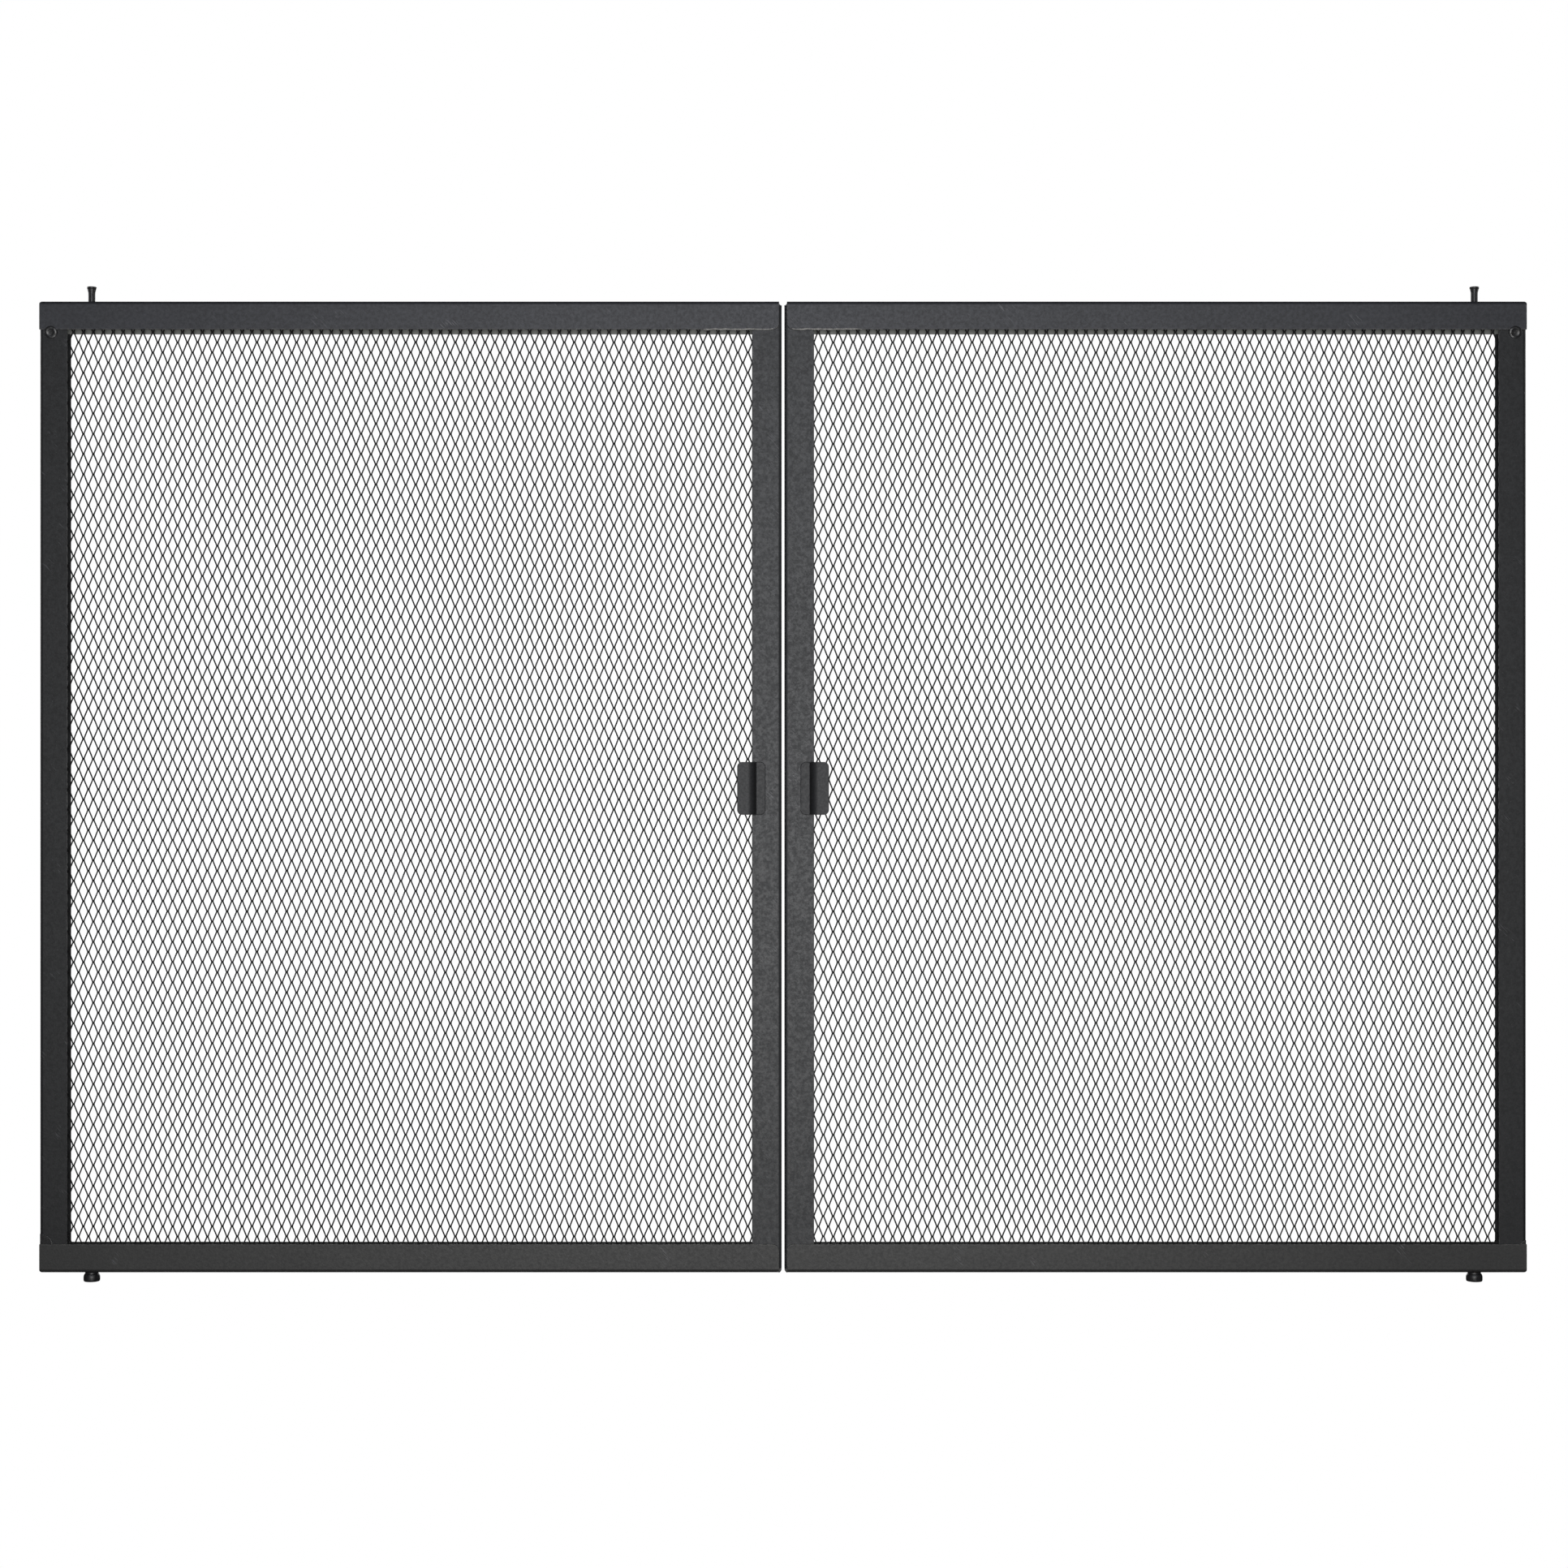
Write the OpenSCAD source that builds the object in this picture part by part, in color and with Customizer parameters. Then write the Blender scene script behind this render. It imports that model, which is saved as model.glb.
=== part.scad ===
// Pair of fireplace screen doors: two framed leaves of expanded metal, side by side.
// Each leaf turns on a fixed bottom pivot and on a spring-loaded pin at its top.
// The origin is on the hearth line, midway between the two bottom pivots.
// The room side faces -Y, and each leaf is drawn on the +X side.

/* [Overall] */
// Width over both closed leaves
overall_w = 914; // [600:1:1300]
// Height of one leaf
leaf_h = 597; // [350:1:900]
// Gap between the closed leaves
leaf_gap = 1.7; // [1:0.1:6]

/* [Frame channel] */
// Thickness of the folded sheet
sheet_t = 1; // [0.8:0.1:1.2]
// Depth of a channel from front to back
channel_d = 9.5; // [9:0.5:14]
// Outside radius of a fold
bend_r = 2.3; // [1.8:0.1:3]
// Face height of the top rail
top_face = 17.5; // [16:0.5:24]
// How much deeper the back flange of the top rail is
top_back_extra = 1.5; // [0.5:0.5:3]
// Face height of the bottom rail
bottom_face = 17.6; // [16:0.1:24]
// Face width of the stile on the hinge side
outer_face = 17; // [15:0.5:24]
// Face width of the stile at the middle gap
inner_face = 18.2; // [15:0.1:24]
// How far the rails stop short of a leaf's edge at the gap
rail_short = 1.5; // [1:0.1:2.5]
// Radius on the loose corners of the flanges
flange_r = 4; // [2:0.5:6]
// Radius on the outer corners of a leaf
leaf_r = 1.5; // [1:0.5:2.5]

/* [Expanded metal] */
// Short way of a diamond, across the leaf
diamond_w = 6.1; // [5:0.1:12]
// Long way of a diamond, up the leaf
diamond_h = 12.5; // [10:0.1:25]
// Width of a strand
strand_w = 1.1; // [0.8:0.1:2]
// Thickness of a strand
strand_t = 0.5; // [0.4:0.05:0.5]
// How far the sheet reaches into the channels
mesh_lap = 5; // [3:0.5:5]

/* [Handle] */
// Width of a handle across the leaf
handle_w = 17.2; // [14:0.1:30]
// Height of a handle
handle_h = 32.3; // [20:0.1:60]
// Thickness of the handle plate
handle_t = 1.5; // [1:0.1:2]
// Width of the foot that is welded to the stile
foot_w = 5.2; // [5:0.1:9]
// How far the grip stands off the stile
grip_gap = 7; // [5:0.5:12]
// Radius on the corners of the handle
handle_r = 3; // [1:0.5:5]
// How far the handle's middle lies below mid height
handle_drop = 0.9; // [0:0.1:100]

/* [Top pin] */
// Distance from the outer edge of a leaf to its turning axis
pivot_inset = 31.2; // [30:0.1:60]
// Diameter of the pin
pin_d = 4.2; // [3.6:0.1:5.2]
// How far the pin stands above the leaf
pin_reach = 9.4; // [9:0.1:14]
// Diameter of the flared end
pin_head_d = 6; // [5.9:0.1:8]
// Length of the flared end's straight rim
pin_rim = 1.5; // [1:0.1:2]
// Diameter of the stem inside the spring
stem_d = 3; // [2.5:0.1:3.3]
// How far the pin can be pressed down
pin_travel = 5.5; // [4:0.1:6.6]
// Wire diameter of the spring
wire_d = 0.5; // [0.3:0.05:0.5]

/* [Bottom pivot] */
// Height of the pivot below the leaf
pivot_h = 5.8; // [5:0.1:12]
// Diameter of the pivot's round foot
pivot_foot_d = 10; // [9:0.5:14]
// Diameter of the neck under the leaf
pivot_neck_d = 8; // [7.5:0.5:9]
// Diameter of the spindle that the leaf turns on
spindle_d = 4; // [3.2:0.1:4.8]
// Length of the bush that takes the spindle
bush_l = 9; // [6:0.5:9]

/* [Magnets] */
// Diameter of a holding magnet
magnet_d = 16; // [10:0.5:16]
// Thickness of a holding magnet
magnet_t = 6; // [3:0.5:8]
// Distance from a leaf's edge at the gap to a magnet's centre
magnet_from_edge = 43; // [30:1:90]

/* [Fits] */
// Radial clearance of a part that turns or slides in a hole
running = 0.05; // [0.02:0.01:0.1]
// Gap between pieces that are laid or welded beside each other
seat = 0.05; // [0.02:0.01:0.1]

/* [Hidden] */
$fn = 64;
SIDES = ["left", "right"];
PIECES = [
  "bottom_pivot", "pivot_bush", "top_rail", "bottom_rail", "outer_stile", "inner_stile",
  "mesh_panel", "handle", "top_magnet", "bottom_magnet", "pin_guide",
  "pin_spring", "top_pin", "pin_washer", "pin_clip"
];

edge = 0.1; // how far a cutter runs past what it cuts
x_in = leaf_gap / 2; // edge of the leaf at the middle gap
x_out = overall_w / 2; // edge of the leaf on the hinge side
x_pivot = x_out - pivot_inset;
z_low = pivot_h; // underside of the leaf
z_top = z_low + leaf_h; // top of the leaf
front = -channel_d / 2; // front face of the rails
back = channel_d / 2; // back face of the rails
// The stiles are nested one sheet further back than the rails
stile_front = front + sheet_t;
stile_back = back + sheet_t;
inner_d = channel_d - 2 * sheet_t;
rail_x = x_in + rail_short;
stile_z = z_low + bend_r; // stiles stop short, inside the fold of the rails
stile_l = leaf_h - 2 * bend_r;

// Handle
foot_fold_r = 0.6;
grip_fold_r = 3;
rise_angle = 76;
foot_from_edge = 10; // from the leaf's edge at the gap
handle_x = x_in + foot_from_edge;
handle_z = z_low + leaf_h / 2 - handle_drop;
folds_r = foot_fold_r + handle_t + grip_fold_r;
rise_l = (grip_gap - folds_r * (1 - cos(rise_angle))) / sin(rise_angle);
foot_fold = [foot_w, handle_t + foot_fold_r]; // centre of the fold at the foot
grip_fold = foot_fold + folds_r * [sin(rise_angle), -cos(rise_angle)]
  + rise_l * [cos(rise_angle), sin(rise_angle)];

// How far the inside of a fold rises above the web, at y from the middle
fold_in = bend_r - sheet_t;
flat_d = inner_d - 2 * fold_in; // flat part of the inside of a web
function fold_sag(y) = fold_in - sqrt(pow(fold_in, 2) - pow(max(0, y - flat_d / 2), 2));

// Top pin, measured down from the top of the leaf
clip_t = 0.6;
clip_room = 0.35; // around the clip inside the rail
clip_d = inner_d - 2 * clip_room;
clip_drop = sheet_t + fold_sag(clip_d / 2) + seat; // top of the clip
groove_d = (pin_d + stem_d) / 2;
clip_open = 0.8; // mouth of the clip as a share of the groove's diameter
clip_mouth = clip_open * groove_d;
neck_step = 0.3;
pin_neck_d = pin_d + 2 * neck_step;
pin_flare = 1.3; // height of the flare below the rim
shoulder_below_clip = 0.8;
shoulder_drop = clip_drop + clip_t + shoulder_below_clip;
washer_t = 0.4;
washer_room = 0.55; // around the washer inside the rail
washer_d = inner_d - 2 * washer_room;
spring_turns = 5;
spring_spare = 2.9; // length of the spring when the pin is fully down
spring_top = shoulder_drop + washer_t;
guide_drop = spring_top + pin_travel + spring_spare; // floor of the guide
guide_leg_out = 5.6; // how far a leg of the guide stands out past the clip
guide_w = clip_d + 2 * guide_leg_out;
guide_d = flat_d;
guide_fold_r = 0.5; // inside radius of the guide's folds
guide_bend = sheet_t + guide_fold_r;
guide_low = guide_drop + sheet_t;
stem_spare = 0.7; // how far the stem shows below the guide
stem_end = guide_low + stem_spare;
pressed_end = stem_end + pin_travel; // lowest the stem reaches

// Bottom pivot
spigot_wall = 0.8;
spigot_d = spindle_d + 2 * spigot_wall;
bush_room = 0.25; // around the bush inside the rail
bush_d = inner_d - 2 * bush_room;
spindle_spare = 0.8; // how far the spindle shows above the bush
spindle_l = sheet_t + bush_l + spindle_spare; // how far the spindle reaches into the leaf
foot_h = 4; // straight height of the round foot
foot_shoulder = 0.8; // height of the slope from the foot to the neck

// Expanded metal
strand_lean = atan(diamond_w / diamond_h);
rim_w = 1.5; // plain band along the hidden edges of the sheet
mesh_front = stile_front + sheet_t;
mesh_t = 2 * strand_t + seat;
mesh_x = x_in + inner_face - mesh_lap;
mesh_w = x_out - outer_face + mesh_lap - mesh_x;
// The sheet stays clear of the bush below and of the pin's guide above
mesh_room = 0.3;
mesh_z = z_low + max(bottom_face - mesh_lap, spindle_l + mesh_room);
mesh_h = z_top - max(top_face - mesh_lap, guide_low + mesh_room) - mesh_z;
strand_l = (mesh_h + 2 * diamond_h) / cos(strand_lean);

fold_steps = 10;
// Points of an arc about c
function arc(c, r, a0, a1) = [for (i = [0:fold_steps]) let (a = a0 + (a1 - a0) * i / fold_steps)
  c + r * [cos(a), sin(a)]];

// Places a piece on one side of the pair
module on_side(side) {
  mirror([side == "left" ? 1 : 0, 0, 0]) children();
}

// Outline of a channel's outer skin, web up and flanges down
module channel_skin(d, front_h, back_h, r) {
  for (s = [-1, 1]) translate([s * (d / 2 - r), -r]) circle(r);
  translate([r - d / 2, -r]) square([d - 2 * r, r]);
  translate([-d / 2, -front_h]) square([d / 2, front_h - r]);
  translate([0, -back_h]) square([d / 2, back_h - r]);
}

// Folded channel outline with a wall of one sheet
module channel(d, front_h, back_h, r) {
  difference() {
    channel_skin(d, front_h, back_h, r);
    translate([0, -sheet_t]) channel_skin(d - 2 * sheet_t, front_h, back_h, r - sheet_t);
  }
}

// Cutter for a rounded corner at the origin of the XZ plane; keeps what lies towards +X +Z
module corner_cut(r, y0, y1) {
  translate([0, y1, 0]) rotate([90, 0, 0]) linear_extrude(y1 - y0) difference() {
    translate([-edge, -edge]) square(r + edge);
    translate([r, r]) circle(r);
  }
}

// Rail lying along X, with its web on top
module rail(front_h, back_h) {
  difference() {
    translate([rail_x, 0, 0]) rotate([90, 0, 90]) linear_extrude(x_out - rail_x)
      channel(channel_d, front_h, back_h, bend_r);
    // loose corner of the front flange at the gap
    translate([rail_x, 0, -front_h]) corner_cut(flange_r, front - edge, stile_front + edge);
    // the back flange stops beside the folds of both stiles
    for (x = [x_in, x_out - bend_r]) translate([x, back - bend_r, -back_h - edge])
      cube([bend_r + edge, bend_r + edge, back_h + 2 * edge]);
    translate([x_out, 0, 0]) rotate([0, 180, 0]) corner_cut(leaf_r, front - edge, back + edge);
  }
}

module top_rail() {
  color([0.13, 0.135, 0.145]) difference() {
    translate([0, 0, z_top]) rail(top_face, top_face + top_back_extra);
    translate([x_pivot, 0, z_top - 2 * sheet_t]) cylinder(h = 3 * sheet_t, d = pin_d + 2 * running);
  }
}

module bottom_rail() {
  color([0.13, 0.135, 0.145]) difference() {
    translate([0, 0, z_low]) mirror([0, 0, 1]) rail(bottom_face, bottom_face);
    translate([x_pivot, 0, z_low - sheet_t]) cylinder(h = 3 * sheet_t, d = spigot_d + 2 * seat);
  }
}

// Stile standing along Z from its web at x = 0 towards +X
module stile(face) {
  difference() {
    translate([0, sheet_t, stile_z]) linear_extrude(stile_l) rotate(90)
      channel(channel_d, face, face, bend_r);
    // loose corners of the back flange, over the rails
    translate([face, 0, stile_z]) mirror([1, 0, 0])
      corner_cut(flange_r, back - edge, stile_back + edge);
    translate([face, 0, stile_z + stile_l]) rotate([0, 180, 0])
      corner_cut(flange_r, back - edge, stile_back + edge);
  }
}

module inner_stile() {
  color([0.13, 0.135, 0.145]) translate([x_in, 0, 0]) stile(inner_face);
}

module outer_stile() {
  color([0.13, 0.135, 0.145]) translate([x_out, 0, 0]) mirror([1, 0, 0]) stile(outer_face);
}

// Flat outline of one family of strands inside a plain rim; lean is +1 or -1
module strand_layer(lean) {
  run = mesh_h * diamond_w / diamond_h;
  difference() {
    square([mesh_w, mesh_h]);
    difference() {
      translate([rim_w, rim_w]) square([mesh_w - 2 * rim_w, mesh_h - 2 * rim_w]);
      for (x = [-run:diamond_w:mesh_w + run]) translate([x, mesh_h / 2]) rotate(-lean * strand_lean)
        square([strand_w, strand_l], center = true);
    }
  }
}

module mesh_panel() {
  color([0.08, 0.08, 0.085]) difference() {
    translate([mesh_x, mesh_front, mesh_z]) mirror([0, 1, 0]) rotate([90, 0, 0]) {
      linear_extrude(strand_t) strand_layer(1);
      translate([0, 0, strand_t + seat]) linear_extrude(strand_t) strand_layer(-1);
      linear_extrude(mesh_t) difference() {
        square([mesh_w, mesh_h]);
        translate([rim_w, rim_w]) square([mesh_w - 2 * rim_w, mesh_h - 2 * rim_w]);
      }
    }
    // room for the pressed stem where it passes close behind the sheet
    translate([x_pivot, 0, z_top - pressed_end - mesh_room])
      cylinder(h = pressed_end, d = stem_d + mesh_room);
  }
}

// Side view of the handle: foot along +X from the origin, then a rise and a rolled grip
module handle_strip() {
  polygon(concat(
    [[0, 0]],
    arc(foot_fold, foot_fold_r + handle_t, -90, rise_angle - 90),
    arc(grip_fold, grip_fold_r, rise_angle + 90, 90),
    [[handle_w, grip_gap], [handle_w, grip_gap + handle_t]],
    arc(grip_fold, grip_fold_r + handle_t, 90, rise_angle + 90),
    arc(foot_fold, foot_fold_r, rise_angle - 90, -90),
    [[0, handle_t]]
  ));
}

module handle() {
  color([0.2, 0.21, 0.22]) translate([handle_x, stile_front, handle_z]) intersection() {
    mirror([0, 1, 0]) linear_extrude(handle_h, center = true) handle_strip();
    translate([0, edge, 0]) rotate([90, 0, 0]) linear_extrude(grip_gap * 3) plate_outline();
  }
}

// Front view of the handle with its round corners
module plate_outline() {
  for (x = [handle_r, handle_w - handle_r], z = [-1, 1])
    translate([x, z * (handle_h / 2 - handle_r)]) circle(handle_r);
  translate([0, handle_r - handle_h / 2]) square([handle_w, handle_h - 2 * handle_r]);
  translate([handle_r, -handle_h / 2]) square([handle_w - 2 * handle_r, handle_h]);
}

module magnet(z) {
  color([0.6, 0.6, 0.58]) translate([x_in + magnet_from_edge, back + magnet_t, z])
    rotate([90, 0, 0]) cylinder(h = magnet_t, d = magnet_d);
}

module top_magnet() {
  magnet(z_top - max(top_face, magnet_d) / 2);
}

module bottom_magnet() {
  magnet(z_low + max(bottom_face, magnet_d) / 2);
}

// Turned pin: plain stem, grooved shank, flared head
module top_pin() {
  rim_z = pin_reach - pin_rim;
  groove_z = -clip_drop - clip_t - seat;
  color([0.06, 0.06, 0.065]) translate([x_pivot, 0, z_top]) rotate_extrude() polygon([
    [0, -stem_end], [stem_d / 2, -stem_end],
    [stem_d / 2, -shoulder_drop], [pin_d / 2, -shoulder_drop],
    [pin_d / 2, groove_z], [groove_d / 2, groove_z],
    [groove_d / 2, seat - clip_drop], [pin_d / 2, seat - clip_drop],
    [pin_d / 2, rim_z - pin_flare], [pin_neck_d / 2, rim_z - pin_flare],
    [pin_head_d / 2, rim_z], [pin_head_d / 2, pin_reach], [0, pin_reach]
  ]);
}

module pin_clip() {
  color([0.35, 0.35, 0.36]) translate([x_pivot, 0, z_top - clip_drop - clip_t]) difference() {
    cylinder(h = clip_t, d = clip_d);
    translate([0, 0, -edge]) cylinder(h = clip_t + 2 * edge, d = groove_d + 2 * seat);
    translate([-clip_mouth / 2, 0, -edge]) cube([clip_mouth, clip_d, clip_t + 2 * edge]);
  }
}

module pin_washer() {
  color([0.55, 0.55, 0.56]) translate([x_pivot, 0, z_top - spring_top]) difference() {
    cylinder(h = washer_t, d = washer_d);
    translate([0, 0, -edge]) cylinder(h = washer_t + 2 * edge, d = stem_d + 2 * seat);
  }
}

// Round wire coil, swept as rings of points along a helix
module pin_spring() {
  wire_sides = 8;
  rings_per_turn = 16;
  coil_gap = 0.35; // between the wire and the stem
  coil_r = (stem_d + wire_d) / 2 + coil_gap;
  n = spring_turns * rings_per_turn;
  rise = pin_travel + spring_spare - wire_d - 2 * seat;
  points = [for (i = [0:n], j = [0:wire_sides - 1]) let (
    a = 360 * i / rings_per_turn,
    w = 360 * j / wire_sides,
    r = coil_r + wire_d / 2 * cos(w)
  ) [r * cos(a), r * sin(a), wire_d / 2 + seat + rise * i / n + wire_d / 2 * sin(w)]];
  skin = [for (i = [0:n - 1], j = [0:wire_sides - 1]) let (k = (j + 1) % wire_sides)
    [i * wire_sides + j, i * wire_sides + k, (i + 1) * wire_sides + k, (i + 1) * wire_sides + j]];
  ends = [[for (j = [wire_sides - 1:-1:0]) j], [for (j = [0:wire_sides - 1]) n * wire_sides + j]];
  color([0.7, 0.7, 0.7]) translate([x_pivot, 0, z_top - guide_drop])
    polyhedron(points = points, faces = concat(skin, ends));
}

// Bridge under the web of the top rail that holds the spring and guides the stem
module pin_guide() {
  leg_h = guide_drop - seat;
  color([0.3, 0.3, 0.31]) translate([x_pivot, 0, z_top - guide_low]) difference() {
    translate([0, guide_d / 2, 0]) rotate([90, 0, 0]) linear_extrude(guide_d) mirror([0, 1])
      channel(guide_w, leg_h, leg_h, guide_bend);
    translate([0, 0, -edge]) cylinder(h = sheet_t + 2 * edge, d = stem_d + 2 * running);
  }
}

// Round foot, neck and spindle, turned in one piece
module bottom_pivot() {
  color([0.05, 0.05, 0.055]) translate([x_pivot, 0, 0]) {
    cylinder(h = foot_h, d = pivot_foot_d);
    translate([0, 0, foot_h]) cylinder(h = foot_shoulder, d1 = pivot_foot_d, d2 = pivot_neck_d);
    translate([0, 0, foot_h]) cylinder(h = pivot_h - foot_h, d = pivot_neck_d);
    cylinder(h = pivot_h + spindle_l, d = spindle_d);
  }
}

// Shouldered bush seated in the web of the bottom rail, sloped to clear the folds
module pivot_bush() {
  color([0.45, 0.42, 0.35]) translate([x_pivot, 0, z_low]) difference() {
    union() {
      cylinder(h = bend_r, d = spigot_d);
      translate([0, 0, sheet_t]) cylinder(h = fold_in, d1 = spigot_d, d2 = bush_d);
      translate([0, 0, bend_r]) cylinder(h = sheet_t + bush_l - bend_r, d = bush_d);
    }
    translate([0, 0, -edge]) cylinder(h = sheet_t + bush_l + 2 * edge, d = spindle_d + 2 * running);
  }
}

for (side = SIDES) on_side(side) {
  bottom_pivot();
  pivot_bush();
  top_rail();
  bottom_rail();
  outer_stile();
  inner_stile();
  mesh_panel();
  handle();
  top_magnet();
  bottom_magnet();
  pin_guide();
  pin_spring();
  top_pin();
  pin_washer();
  pin_clip();
}
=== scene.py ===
import math
from random import Random

import bmesh
import bpy
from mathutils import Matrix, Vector, noise


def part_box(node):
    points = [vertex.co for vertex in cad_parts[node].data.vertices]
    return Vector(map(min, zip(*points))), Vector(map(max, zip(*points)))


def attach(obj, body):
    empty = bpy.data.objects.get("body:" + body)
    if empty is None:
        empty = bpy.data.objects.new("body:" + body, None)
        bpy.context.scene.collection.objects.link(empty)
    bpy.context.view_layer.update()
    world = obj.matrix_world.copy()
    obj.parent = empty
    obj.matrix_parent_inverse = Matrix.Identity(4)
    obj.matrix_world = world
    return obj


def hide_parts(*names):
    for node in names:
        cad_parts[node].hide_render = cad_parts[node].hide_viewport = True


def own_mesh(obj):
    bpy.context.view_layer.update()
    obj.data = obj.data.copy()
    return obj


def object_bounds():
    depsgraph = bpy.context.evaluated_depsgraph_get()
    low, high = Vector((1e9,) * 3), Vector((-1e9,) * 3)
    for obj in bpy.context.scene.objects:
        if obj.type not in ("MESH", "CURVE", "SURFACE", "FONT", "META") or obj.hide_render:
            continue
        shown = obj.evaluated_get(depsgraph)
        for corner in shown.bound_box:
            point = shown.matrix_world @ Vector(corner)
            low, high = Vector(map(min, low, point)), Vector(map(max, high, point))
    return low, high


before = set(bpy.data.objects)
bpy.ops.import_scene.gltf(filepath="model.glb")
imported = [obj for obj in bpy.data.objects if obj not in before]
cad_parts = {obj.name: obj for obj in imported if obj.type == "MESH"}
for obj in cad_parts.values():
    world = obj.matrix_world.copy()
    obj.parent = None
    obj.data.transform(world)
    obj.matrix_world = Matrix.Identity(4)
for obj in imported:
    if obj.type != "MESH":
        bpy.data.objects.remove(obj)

cad_low, cad_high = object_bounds()

MM = 0.001
TOP_FACE = 17.5 * MM  # face height of the top rail
SIDES = {"left": -1, "right": 1}
scene = bpy.context.scene
scene.view_settings.view_transform = "Standard"


# ---------------------------------------------------------------- camera, light and floor

def aim(thing, target):
    """Turns a camera or a light towards a point."""
    thing.rotation_euler = (Vector(target) - thing.location).to_track_quat("-Z", "Y").to_euler()


def place_camera():
    """Stands level in front of the doors, at mid height, and takes in a little more than both."""
    distance, aside, seen_width = 1.6, 0.0006, 0.9631
    data = bpy.data.cameras.new("front_camera")
    camera = bpy.data.objects.new("front_camera", data)
    scene.collection.objects.link(camera)
    middle = (cad_low + cad_high) / 2
    camera.location = (aside, -distance, middle.z)
    camera.rotation_euler = (math.radians(90), 0, 0)
    rail_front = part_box("right_top_rail")[0].y
    data.lens = data.sensor_width * (distance + rail_front) / seen_width
    scene.camera = camera


def softbox(name, place, target, size, watts, tint=(1, 1, 1)):
    """A rectangular lamp turned to a target; only its light is seen, not the lamp."""
    data = bpy.data.lights.new(name, "AREA")
    data.shape = "RECTANGLE"
    data.size, data.size_y = size
    data.energy = watts
    data.color = tint
    lamp = bpy.data.objects.new(name, data)
    scene.collection.objects.link(lamp)
    lamp.location = place
    aim(lamp, target)
    lamp.visible_camera = False


def light_the_studio():
    """Soft light from the front, cooler above than below, with fills for the sides and back."""
    middle = (cad_low + cad_high) / 2
    ahead = Vector((0, 0, middle.z))
    softbox("upper_softbox", (0, -1.9, 0.98), ahead, (1.9, 0.45), 8.2, (0.92, 0.94, 1.0))
    softbox("middle_softbox", (0, -1.9, 0.36), ahead, (0.8, 0.55), 8.0, (0.97, 0.98, 1.0))
    softbox("low_softbox", (0, -1.5, 0.09), ahead, (1.3, 0.14), 6.5, (1.0, 0.985, 0.96))
    softbox("rear_fill", (0, 2.4, 0.5), middle, (1.8, 1.0), 18)
    for way in SIDES.values():
        softbox("side_fill", (2.4 * way, 0.5, 0.8), middle, (1.0, 1.0), 9)


def seen_or_felt(tree, seen, felt):
    """Gives the camera one shader and every bounce of light another."""
    path = tree.nodes.new("ShaderNodeLightPath")
    choice = tree.nodes.new("ShaderNodeMixShader")
    tree.links.new(path.outputs["Is Camera Ray"], choice.inputs["Fac"])
    tree.links.new(felt, choice.inputs[1])
    tree.links.new(seen, choice.inputs[2])
    return choice.outputs["Shader"]


def paint_the_room():
    """White all round for the camera, and a dim grey room for reflections."""
    world = bpy.data.worlds.new("pale_room")
    scene.world = world
    world.use_nodes = True
    tree = world.node_tree
    tree.nodes.clear()
    shades = []
    seen_strength, felt_strength = 1.0, 0.05
    for strength in (seen_strength, felt_strength):
        shade = tree.nodes.new("ShaderNodeBackground")
        shade.inputs["Color"].default_value = (1, 1, 1, 1)
        shade.inputs["Strength"].default_value = strength
        shades.append(shade.outputs["Background"])
    out = tree.nodes.new("ShaderNodeOutputWorld")
    tree.links.new(seen_or_felt(tree, *shades), out.inputs["Surface"])


def lay_floor():
    """A wide floor under the doors, white to the camera and dull to the light."""
    finish = bpy.data.materials.new("pale_floor")
    finish.use_nodes = True
    tree = finish.node_tree
    tree.nodes.clear()
    glow = tree.nodes.new("ShaderNodeEmission")
    glow.inputs["Color"].default_value = (1, 1, 1, 1)
    matt = tree.nodes.new("ShaderNodeBsdfDiffuse")
    matt.inputs["Color"].default_value = (0.12, 0.12, 0.12, 1)
    out = tree.nodes.new("ShaderNodeOutputMaterial")
    surface = seen_or_felt(tree, glow.outputs["Emission"], matt.outputs["BSDF"])
    tree.links.new(surface, out.inputs["Surface"])
    shape = bmesh.new()
    wide = 60
    bmesh.ops.create_grid(shape, x_segments=2, y_segments=2, size=wide)
    mesh = bpy.data.meshes.new("pale_floor")
    shape.to_mesh(mesh)
    shape.free()
    mesh.materials.append(finish)
    floor = bpy.data.objects.new("pale_floor", mesh)
    scene.collection.objects.link(floor)
    floor.location.z = cad_low.z


# ---------------------------------------------------------------- shader groups

def new_group(name, inputs, outputs):
    """A node group with named sockets: inputs as {name: value}, outputs as {name: kind}."""
    group = bpy.data.node_groups.new(name, "ShaderNodeTree")
    for label, value in inputs.items():
        kind = "NodeSocketColor" if isinstance(value, tuple) else "NodeSocketFloat"
        socket = group.interface.new_socket(name=label, in_out="INPUT", socket_type=kind)
        socket.default_value = value
    for label, kind in outputs.items():
        group.interface.new_socket(name=label, in_out="OUTPUT", socket_type=kind)
    return group, group.nodes.new("NodeGroupInput"), group.nodes.new("NodeGroupOutput")


def add(tree, kind, values=None, **settings):
    """Adds a node, with its settings and the values of its own sockets."""
    node = tree.nodes.new(kind)
    for key, value in settings.items():
        setattr(node, key, value)
    for key, value in (values or {}).items():
        node.inputs[key].default_value = value
    return node


def math_node(tree, operation, first, second):
    """One calculation with two values, each a socket or a number."""
    node = add(tree, "ShaderNodeMath", operation=operation)
    for socket, value in zip(node.inputs, (first, second)):
        if isinstance(value, (int, float)):
            socket.default_value = value
        else:
            tree.links.new(value, socket)
    return node.outputs["Value"]


def ramp(tree, value, low, high, to_low=0.0, to_high=1.0):
    """Stretches a value from low..high to to_low..to_high, clamped."""
    node = add(tree, "ShaderNodeMapRange", {
        "From Min": low, "From Max": high, "To Min": to_low, "To Max": to_high,
    })
    tree.links.new(value, node.inputs["Value"])
    return node.outputs["Result"]


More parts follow.
